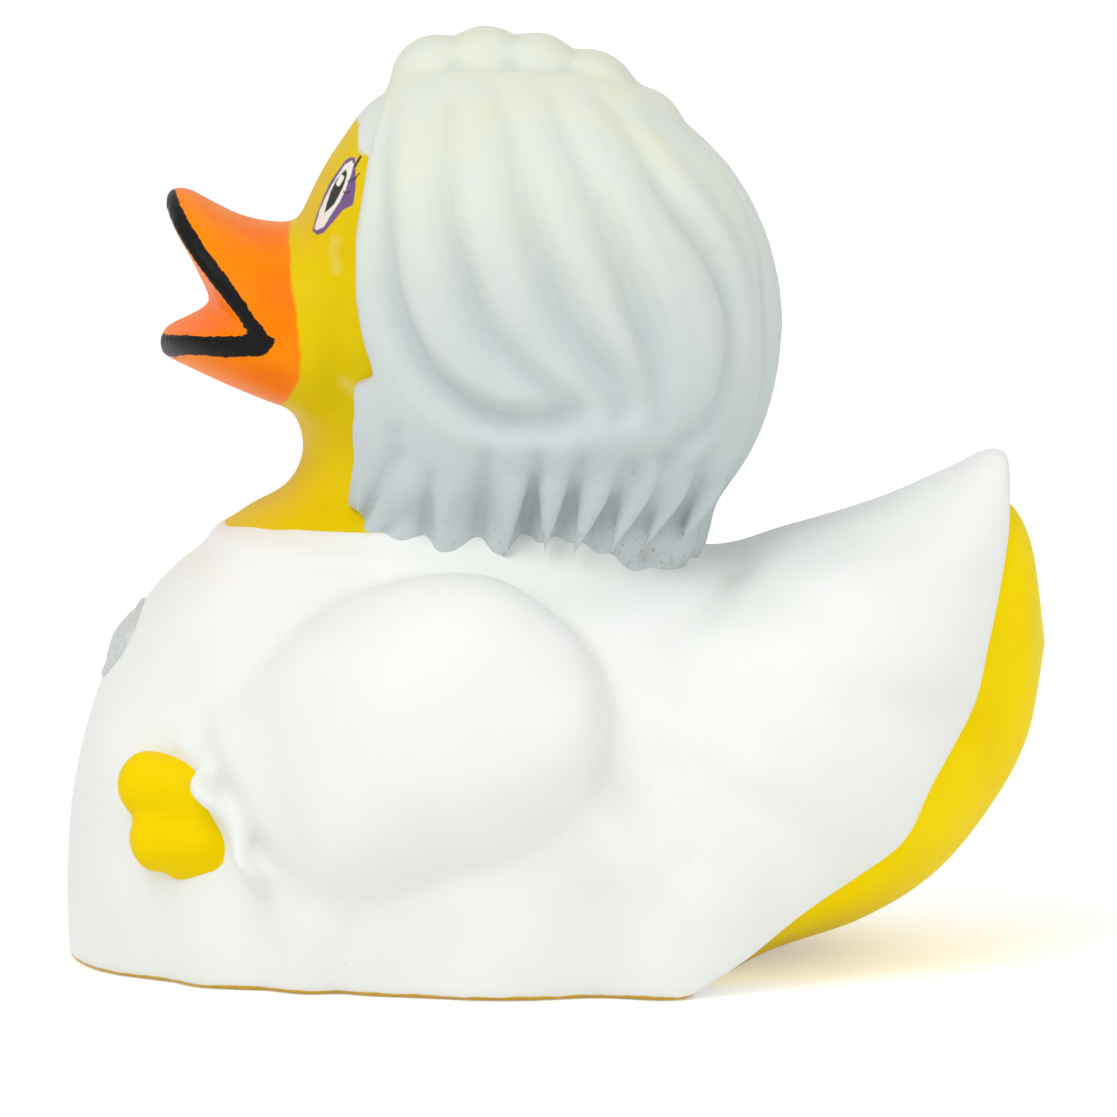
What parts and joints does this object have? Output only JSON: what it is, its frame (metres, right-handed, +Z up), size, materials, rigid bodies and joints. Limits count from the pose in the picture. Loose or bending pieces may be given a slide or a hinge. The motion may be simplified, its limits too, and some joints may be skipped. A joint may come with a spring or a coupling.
{
  "type": "rubber duck",
  "caption": "Hollow moulded bath duck in a long gown with puff sleeves, bobbed hair and an open bill, with a vent hole in its flat base.",
  "frame": {"origin": "middle of the overall box, on the plane of the flat base", "axes": "the duck faces -Y, +Z is up, and X = 0 is its middle plane"},
  "size_m": [0.071, 0.09, 0.0854],
  "materials": {
    "vinyl": "soft moulded vinyl with a satin painted face"
  },
  "bodies": {
    "root": {"duck": "vinyl"}
  },
  "joints": []
}
